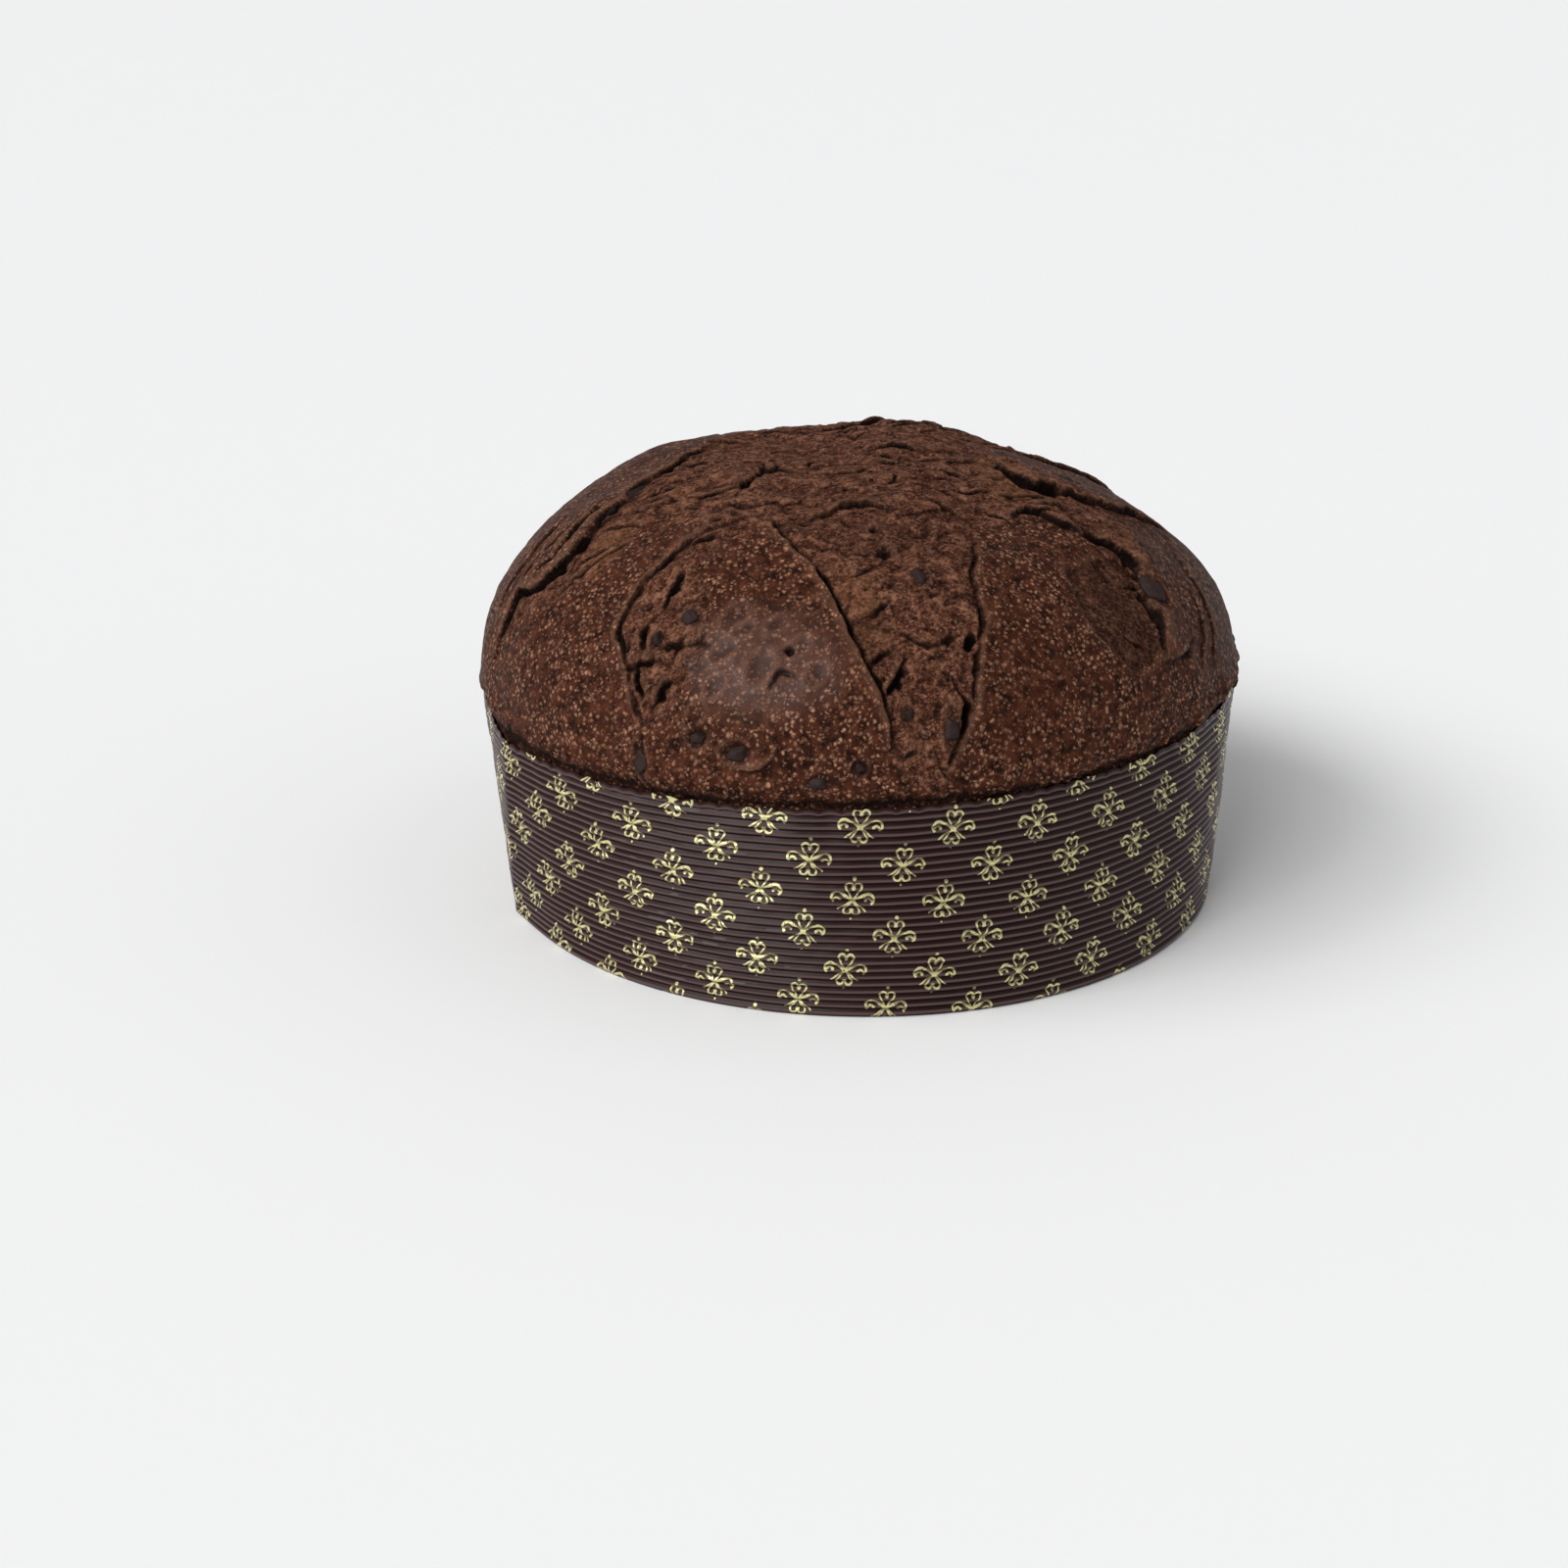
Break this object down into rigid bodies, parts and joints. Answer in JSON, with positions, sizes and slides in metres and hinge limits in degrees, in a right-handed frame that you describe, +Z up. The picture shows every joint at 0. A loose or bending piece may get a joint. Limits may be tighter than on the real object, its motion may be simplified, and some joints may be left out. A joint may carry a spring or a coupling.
{
  "type": "panettone",
  "caption": "Low domed chocolate sweet bread with a torn, speckled crust, baked in a ribbed and printed paper mould that stays on as its holder.",
  "frame": {"origin": "centre of the underside, on the table", "axes": "+Z up through the crown of the loaf; -Y towards the front, where the long diagonal tear comes down the crust"},
  "size_m": [0.2094, 0.2142, 0.1222],
  "materials": {
    "crust": "baked chocolate crust, matte with a dull sheen where it is smooth",
    "band": "dark brown single-face corrugated paper, slightly glossy, printed with a gold scroll pattern",
    "tray": "dark brown baking paper, matte",
    "chocolate": "dark chocolate, dull where it has baked"
  },
  "bodies": {
    "root": {"loaf": "crust", "paper_band": "band", "base_tray": "tray", "chocolate_chunk_01": "chocolate", "chocolate_chunk_02": "chocolate", "chocolate_chunk_03": "chocolate", "chocolate_chunk_04": "chocolate", "chocolate_chunk_05": "chocolate", "chocolate_chunk_06": "chocolate", "chocolate_chunk_07": "chocolate", "chocolate_chunk_08": "chocolate", "chocolate_chunk_09": "chocolate", "chocolate_chunk_10": "chocolate", "chocolate_chunk_11": "chocolate", "chocolate_chunk_12": "chocolate", "chocolate_chunk_13": "chocolate", "chocolate_chunk_14": "chocolate", "chocolate_chunk_15": "chocolate", "chocolate_chunk_16": "chocolate"}
  },
  "joints": []
}
